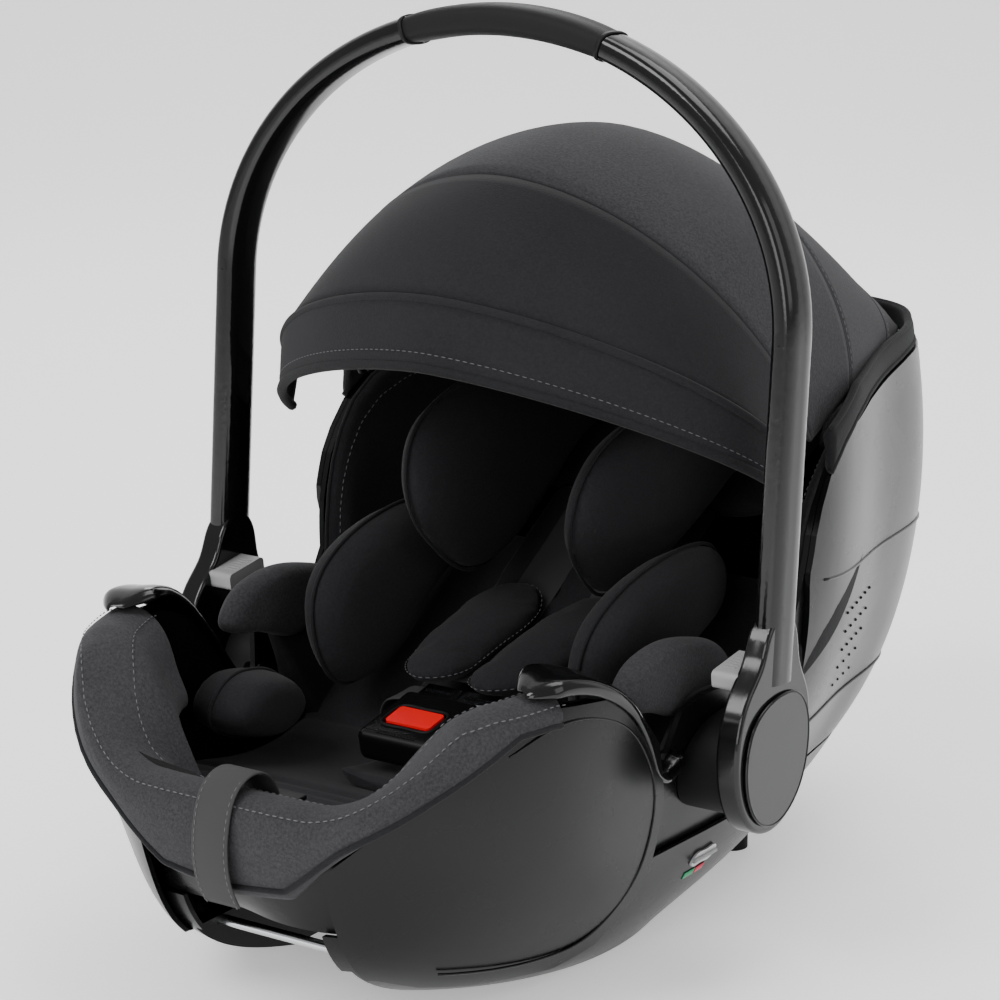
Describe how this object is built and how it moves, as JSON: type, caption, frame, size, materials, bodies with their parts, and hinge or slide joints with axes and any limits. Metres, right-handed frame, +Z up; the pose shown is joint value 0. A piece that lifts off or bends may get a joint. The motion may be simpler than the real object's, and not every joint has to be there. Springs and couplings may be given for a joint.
{
  "type": "infant car seat",
  "caption": "Rear-facing infant car seat with a rocker base, padded newborn insert, harness, folding canopy and a turning carry handle.",
  "frame": {"origin": "on the ground under the middle of the seat", "axes": "+X to the seat's left as the child sits, +Y towards the head end, +Z up"},
  "size_m": [0.453, 0.6982, 0.6037],
  "materials": {
    "shell": "satin black moulded plastic",
    "shell_outer": "satin black moulded plastic",
    "gloss_black": "glossy black plastic",
    "hub_black": "black moulded plastic",
    "grip_rubber": "soft black grip",
    "button_grey": "grey ribbed plastic",
    "button_red": "red plastic",
    "steel": "bright steel",
    "foot_rubber": "black rubber",
    "window": "clear window",
    "webbing": "black webbing",
    "fabric_grey": "grey melange knit",
    "fabric_dark": "dark knit",
    "fabric_insert": "near black soft knit"
  },
  "bodies": {
    "shell": {"base_pan": "shell_outer", "seat_tub": "shell", "back_cover": "shell_outer", "front_lock_bar": "steel", "rear_lock_bar": "steel", "rear_feet": "foot_rubber", "shoulder_belt_guide": "shell_outer", "level_window": "window", "shell_screws": "steel", "pivot_pins": "steel", "buckle_body": "hub_black", "crotch_strap": "webbing", "crotch_pad": "fabric_insert", "splitter_plate": "steel", "adjuster_body": "hub_black", "adjuster_strap": "webbing", "foot_bumper": "fabric_grey", "seat_pad": "fabric_insert", "insert_back_pad": "fabric_insert", "canopy_bow_rear": "steel", "canopy_rear_panel": "fabric_grey", "side_panel_left": "shell_outer", "side_panel_right": "shell_outer", "belt_guide_left": "gloss_black", "belt_guide_right": "gloss_black", "hub_housing_left": "hub_black", "hub_housing_right": "hub_black", "tongue_left": "steel", "tongue_right": "steel", "lap_strap_left": "webbing", "lap_strap_right": "webbing", "shoulder_strap_left": "webbing", "shoulder_strap_right": "webbing", "shoulder_pad_left": "fabric_insert", "shoulder_pad_right": "fabric_insert", "side_cover_left": "fabric_dark", "side_cover_right": "fabric_dark", "hip_wing_left": "fabric_insert", "hip_wing_right": "fabric_insert", "leg_roll_left": "fabric_insert", "leg_roll_right": "fabric_insert"},
    "handle": {"handle_leg_left": "gloss_black", "handle_leg_right": "gloss_black", "hub_cap_left": "gloss_black", "hub_cap_right": "gloss_black", "handle_grip": "grip_rubber"},
    "handle_button_left": {"handle_button_left": "button_grey"},
    "handle_button_right": {"handle_button_right": "button_grey"},
    "headrest": {"headrest_core": "fabric_insert", "headrest_wing_left": "fabric_insert", "headrest_wing_right": "fabric_insert"},
    "canopy_middle": {"canopy_bow_mid": "steel", "canopy_mid_panel": "fabric_grey"},
    "canopy_front": {"canopy_bow_front": "steel", "canopy_brim": "fabric_dark", "canopy_visor": "fabric_dark"},
    "buckle_button": {"buckle_button": "button_red"},
    "adjuster_lever": {"adjuster_lever": "hub_black"},
    "release_lever": {"release_lever": "shell_outer"}
  },
  "joints": [
    {"name": "handle_turn", "type": "hinge", "parent": "shell", "child": "handle", "pos_m": [0, -0.036, 0.134], "axis": [-1, 0, 0], "range_deg": [0, 100]},
    {"name": "handle_button_left_press", "type": "slide", "parent": "handle", "child": "handle_button_left", "axis": [-1, 0, 0], "range_m": [0, 0.005], "stiffness_N_per_m": 600},
    {"name": "handle_button_right_press", "type": "slide", "parent": "handle", "child": "handle_button_right", "axis": [1, 0, 0], "range_m": [0, 0.005], "stiffness_N_per_m": 600},
    {"name": "canopy_middle_fold", "type": "hinge", "parent": "shell", "child": "canopy_middle", "pos_m": [0, 0.084, 0.262], "axis": [-1, 0, 0], "range_deg": [0, 30], "deforming": ["canopy_mid_panel", "canopy_rear_panel"]},
    {"name": "canopy_front_fold", "type": "hinge", "parent": "canopy_middle", "child": "canopy_front", "pos_m": [0, 0.084, 0.262], "axis": [-1, 0, 0], "range_deg": [0, 16.5], "deforming": ["canopy_visor", "canopy_brim"]},
    {"name": "headrest_slide", "type": "slide", "parent": "shell", "child": "headrest", "axis": [0, 0.896, 0.444], "range_m": [0, 0.03]},
    {"name": "buckle_button_press", "type": "slide", "parent": "shell", "child": "buckle_button", "axis": [0, 0.2079, -0.9781], "range_m": [0, 0.004], "stiffness_N_per_m": 800},
    {"name": "adjuster_lever_press", "type": "slide", "parent": "shell", "child": "adjuster_lever", "axis": [0, 0, -1], "range_m": [0, 0.003], "stiffness_N_per_m": 800},
    {"name": "release_lever_pull", "type": "slide", "parent": "shell", "child": "release_lever", "axis": [0, 0.5279, 0.8493], "range_m": [0, 0.004], "stiffness_N_per_m": 400}
  ],
  "couplings": [
    {"joint": "canopy_front_fold", "follows": "canopy_middle_fold", "ratio": 0.55}
  ]
}
